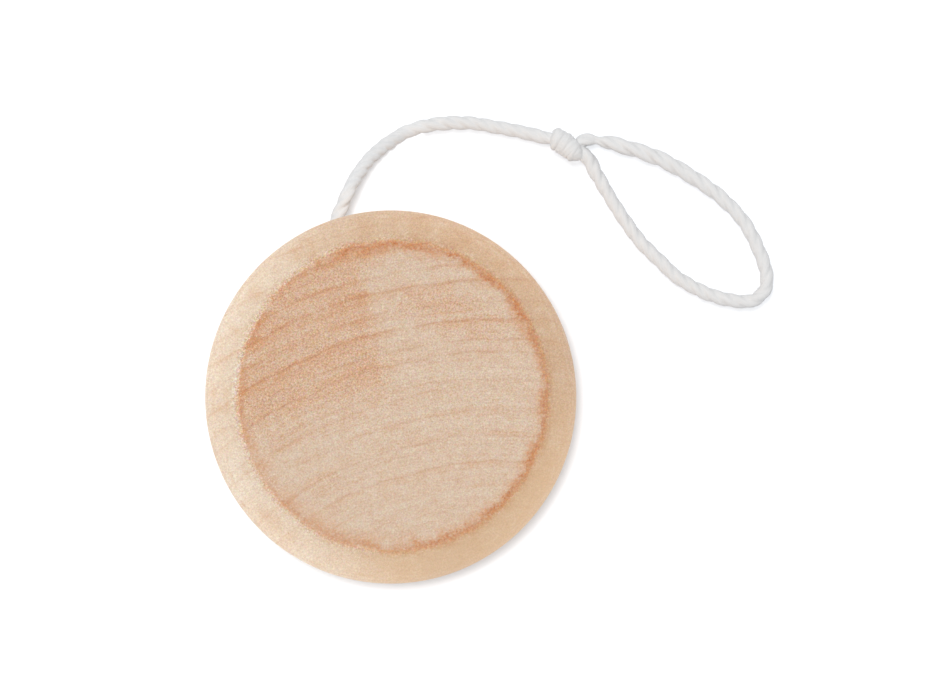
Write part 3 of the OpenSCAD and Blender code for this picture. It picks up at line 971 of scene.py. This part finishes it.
def knot_fill():
    """The buried turns that fill the knot out."""
    spread = 1.0052         # about the view axis, as for the line
    along = np.linspace(-2.38, 2.85, 96)
    part = (along - along[0]) / (along[-1] - along[0])
    body = np.clip(1 - np.abs(2 * part - 1) ** (3.2 - 1.1 * part), 0, 1) ** 0.5
    swell = 1.04 - 0.07 * (along / 1.9) ** 2 - 0.06 * along
    radius = (KNOT_TURN_R * swell + 0.60) * body
    along = along[:, None]
    phi = np.linspace(0, 2 * np.pi, 72, endpoint=False)[None]
    # slight threads lying with the wraps
    lay = phi + along * 2 * np.pi / 1.14
    ply = 2 * phi + along * 2 * np.pi / 0.70
    radius = radius[:, None] * (1 + 0.018 * np.sin(lay + 1.0) + 0.022 * np.sin(ply))
    centre = np.append(VIEW_AXIS + (KNOT_CENTRE[:2] - VIEW_AXIS) * spread, KNOT_CENTRE[2])
    rings = centre + along[..., None] * KNOT_U + radius[..., None] * around_knot(phi[..., None])
    rings[..., 2] = np.maximum(rings[..., 2], 0.03)
    yarn = np.stack([np.broadcast_to(along * 2.2, radius.shape), np.cos(lay) * 1.2, lay * 0.9], -1)
    return rings, yarn


coil = coil_points()
line, knot_entry = free_line(coil)
tip, lower_arm, upper_arm = (nearest(line, place) for place in (LOOP_TIP, LOWER_ARM, UPPER_ARM))
pitch, outer, depth = line_lay(len(line), knot_entry, tip, lower_arm, upper_arm)
# the fuller string rests a little higher
lift = np.maximum(0, outer + 0.015 - line[:, 2])
line[:, 2] += soften(lift[:, None], 6)[:, 0]
laid_line = laid(line, LINE_STEP, pitch, outer, depth, segments=48, seed=5, phase=0.6)


# ------------------------------------------------------------------ string pieces
def wound_string():
    path = soften(even(catmull(coil, 5), COIL_STEP), 1.5)
    twist = LOOSE_PITCH * (1 + 0.08 * smooth_noise(len(path), 40, 51))
    turns = laid(path, COIL_STEP, twist, outer=0.86, depth=0.16, segments=24, seed=9)
    return string_mesh("string_wound", turns, capped=(True, False), fibres=500, seed=61)


def axle_loop():
    """The end loop round the axle, closed on itself."""
    count, girth = 104, 2 * np.pi * AXLE_LOOP_R
    angle = np.linspace(0, 2 * np.pi, count)
    path = np.stack([AXLE_LOOP_R * np.cos(angle), AXLE_LOOP_R * np.sin(angle),
                     MID_Z + 0.05 * np.sin(3 * angle)], 1)
    rings, yarn = laid(path, girth / (count - 1), pitch=girth / 4, outer=0.83, depth=0.16,
                       segments=24, seed=12)
    rings[-1], yarn[-1] = rings[0], yarn[0]
    return string_mesh("string_axle_loop", (rings, yarn))


FIBRE_SHARE = 1.0


def line_piece(name, start, end, per_mm=0, seed=1, capped=(False, False)):
    """A stretch of the free line, with per_mm loose fibres to the mm."""
    fibres = int((end - start) * LINE_STEP * per_mm * FIBRE_SHARE)
    return string_mesh(name, laid_line, start, end, capped, fibres, seed)


def hinge(piece, centre, along, before, after):
    """Bakes the piece's placement into its mesh; the points before and after the centre are worked out
    but not used.
    """
    tuple((centre - before * along) * MM)
    tuple((centre + after * along) * MM)
    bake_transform(piece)


for piece, cad_name in ((wound_string(), "wound_string"), (axle_loop(), "axle_loop")):
    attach(piece, "coil")
    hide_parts(cad_name)

# where the line is cut
run_end = nearest(line, COIL_END + 6.0 * EXIT_U)
mouth_end = nearest(line, COIL_END + 16.3 * EXIT_U)
rise_end = nearest(line, (4.2, 36.25, REST_Z))
table_end = nearest(line, (14.2, 36.3, REST_Z))
core_start = nearest(line, (21.9, 34.75, 1.55))
core_end = nearest(line, (24.6, 33.05, 1.4))
wraps_start = nearest(line, (25.6, 34.35, 1.08))
in_loop = (line - LOWER_ARM) @ LOOP_U > 5.3
cord_start = lower_arm + np.flatnonzero(in_loop[lower_arm:tip])[0]
cord_end = tip + np.flatnonzero(in_loop[tip:upper_arm])[-1]

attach(line_piece("string_run", 0, run_end, per_mm=5, seed=62), "coil")

piece = line_piece("string_mouth", run_end, mouth_end, per_mm=5, seed=63)
hinge(piece, SWING, EXIT_U, before=3.2, after=3.2)
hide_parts("string_lead")

piece = line_piece("string_rise", mouth_end, rise_end, per_mm=5, seed=64)
hinge(piece, LIFT, EXIT_U, before=3.4, after=3.4)
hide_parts("string_near")

piece = line_piece("string_table", rise_end, table_end, per_mm=5, seed=65)
hinge(piece, BEND, BEND_U, before=4.2, after=4.2)
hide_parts("string_far")

piece = line_piece("string_to_knot", table_end, core_start, per_mm=5, seed=66)
hinge(piece, TURN, TURN_U, before=4.0, after=1.3)

# the loop and its two arms, which leave the knot
piece = line_piece("loop_arm_lower", core_end, cord_start, per_mm=5, seed=67, capped=(True, False))
hinge(piece, LOWER_ARM, LOOP_U, before=1.0, after=5.0)
piece = line_piece("finger_loop_cord", cord_start, cord_end, per_mm=6, seed=68)
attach(piece, "loop")
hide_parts("finger_loop")
piece = line_piece("loop_arm_upper", cord_end, wraps_start, per_mm=6, seed=69)
hinge(piece, LOWER_ARM, LOOP_U, before=1.0, after=5.0)

# the knot: its wraps, the string through its middle and the filling
piece = line_piece("string_knot", wraps_start, len(line) - 1, per_mm=6, seed=70,
                   capped=(False, True))
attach(piece, "knot_body")
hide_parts("knot")
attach(line_piece("string_knot_core", core_start, core_end), "knot_body")
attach(string_mesh("string_knot_fill", knot_fill(), capped=(True, True)), "knot_body")


# ------------------------------------------------------------------ floor and world
def floor_material():
    """Near-white floor that glows slightly."""
    graph = Graph("floor_white")
    noise = graph.noise(graph.object_position(), scale=900.0, detail=2.0)
    colour = graph.mix(noise, (0.600, 0.612, 0.630), (0.615, 0.627, 0.645))
    diffuse = graph.make("ShaderNodeBsdfDiffuse", {"Color": colour})
    glow = graph.make("ShaderNodeEmission", {"Color": (1, 1, 1), "Strength": 0.09})
    return graph.finish(graph.make("ShaderNodeAddShader", {0: diffuse, 1: glow}))


def make_floor(reach=3000, z=-0.01):
    corners = [(-reach, -reach, z), (reach, -reach, z), (reach, reach, z), (-reach, reach, z)]
    made = make_mesh("floor", corners, [[(0, 1, 2, 3)]], floor_material(), smooth=False)
    return made


def make_world(lighting, seen):
    """White surroundings, with one strength for lighting and another as the camera sees them."""
    world = bpy.data.worlds.new("studio")
    bpy.context.scene.world = world
    world.use_nodes = True
    nodes, links = world.node_tree.nodes, world.node_tree.links
    nodes.clear()
    path = nodes.new("ShaderNodeLightPath")
    mixer = nodes.new("ShaderNodeMixShader")
    links.new(path.outputs["Is Camera Ray"], mixer.inputs[0])
    for slot, strength in ((1, lighting), (2, seen)):
        background = nodes.new("ShaderNodeBackground")
        background.inputs[0].default_value = (1, 1, 1, 1)
        background.inputs[1].default_value = strength
        links.new(background.outputs[0], mixer.inputs[slot])
    links.new(mixer.outputs[0], nodes.new("ShaderNodeOutputWorld").inputs[0])


floor = make_floor()
make_world(lighting=0.43, seen=1.2)


# ------------------------------------------------------------------ lights
def place_facing(name, data, toward):
    made = bpy.data.objects.new(name, data)
    bpy.context.scene.collection.objects.link(made)
    made.rotation_mode = "QUATERNION"
    made.rotation_quaternion = Vector(toward).to_track_quat("-Z", "Y")
    return made


def sun(name, toward, power, angle, receivers, blockers=None):
    """A distant lamp shining along toward, angle degrees wide, on the receivers only. Power 1
    lights a white face-on surface to 1. Only blockers cast its shadows, if given."""
    lamp = bpy.data.lights.new(name, "SUN")
    lamp.energy = power * math.pi
    lamp.angle = math.radians(angle)
    made = place_facing(name, lamp, toward)
    made.light_linking.receiver_collection = receivers
    if blockers is not None:
        made.light_linking.blocker_collection = blockers


def group(name, members):
    collection = bpy.data.collections.new(name)
    for member in members:
        collection.objects.link(member)
    return collection


strings = [item for item in bpy.data.objects
           if item.type == "MESH" and item.data.attributes.get("yarn")]
free = [item for item in strings if item.name not in ("string_wound", "string_axle_loop")]
RISING_NAMES = ("string_run", "string_mouth", "string_rise")
lit_wood = group("lit_wood", [front, rear, axle])
lit_string = group("lit_string", strings)
lit_floor = group("lit_floor", [floor])
lit_free = group("lit_free_string", free)
lit_rising = group("lit_rising_string", [item for item in free if item.name in RISING_NAMES])
shading = group("shading_string", [item for item in free if item.name not in RISING_NAMES])

# overhead
sun("top_string", (0.026, -0.030, -1.0), power=0.46, angle=3.0, receivers=lit_string)
sun("top_floor", (0.030, -0.032, -1.0), power=0.85, angle=4.6, receivers=lit_floor)
sun("top_wood", (0.026, -0.030, -1.0), power=0.32, angle=2.6, receivers=lit_wood)
# soft light from -x, +y; the wood casts no shadow in it
sun("window_floor", (0.20, -0.52, -1.05), power=0.45, angle=24, receivers=lit_floor,
    blockers=shading)
sun("window_string", (0.36, -0.36, -1.05), power=0.24, angle=30, receivers=lit_free,
    blockers=shading)
# a little light from +x, +y for the string that comes down past the wood
sun("card_rise", (-0.61, -0.74, -0.40), power=0.085, angle=40, receivers=lit_rising,
    blockers=shading)
# low reflectors all round the wood, brightest at -x: (degrees clockwise from +x, power)
REFLECTORS = ((165, 0.475), (255, 0.33), (345, 0.235), (75, 0.315), (308, 0.04))
REFLECTOR_SLOPE = math.tan(math.radians(10))
for k, (clockwise, power) in enumerate(REFLECTORS):
    bearing = math.radians(clockwise)
    sun("reflector_%d" % k, (-math.cos(bearing), math.sin(bearing), -REFLECTOR_SLOPE),
        power=power, angle=20, receivers=lit_wood)


# ------------------------------------------------------------------ camera
def make_camera():
    """Looks straight down from far off."""
    camera = bpy.data.cameras.new("cam")
    camera.sensor_width = 36.0
    camera.sensor_fit = "HORIZONTAL"
    camera.lens = 36.0 * CAMERA_DISTANCE / FRAME_WIDTH
    camera.clip_start, camera.clip_end = 0.1, 20.0
    made = place_facing("cam", camera, (0, 0, -1))
    made.location = (CAMERA_X * MM, CAMERA_Y * MM, (CAMERA_DISTANCE + VIEW_PLANE_Z) * MM)
    bpy.context.scene.camera = made


make_camera()
view = bpy.context.scene.view_settings
view.view_transform = "Standard"
view.look = "None"
view.exposure = 0.0
view.gamma = 1.0
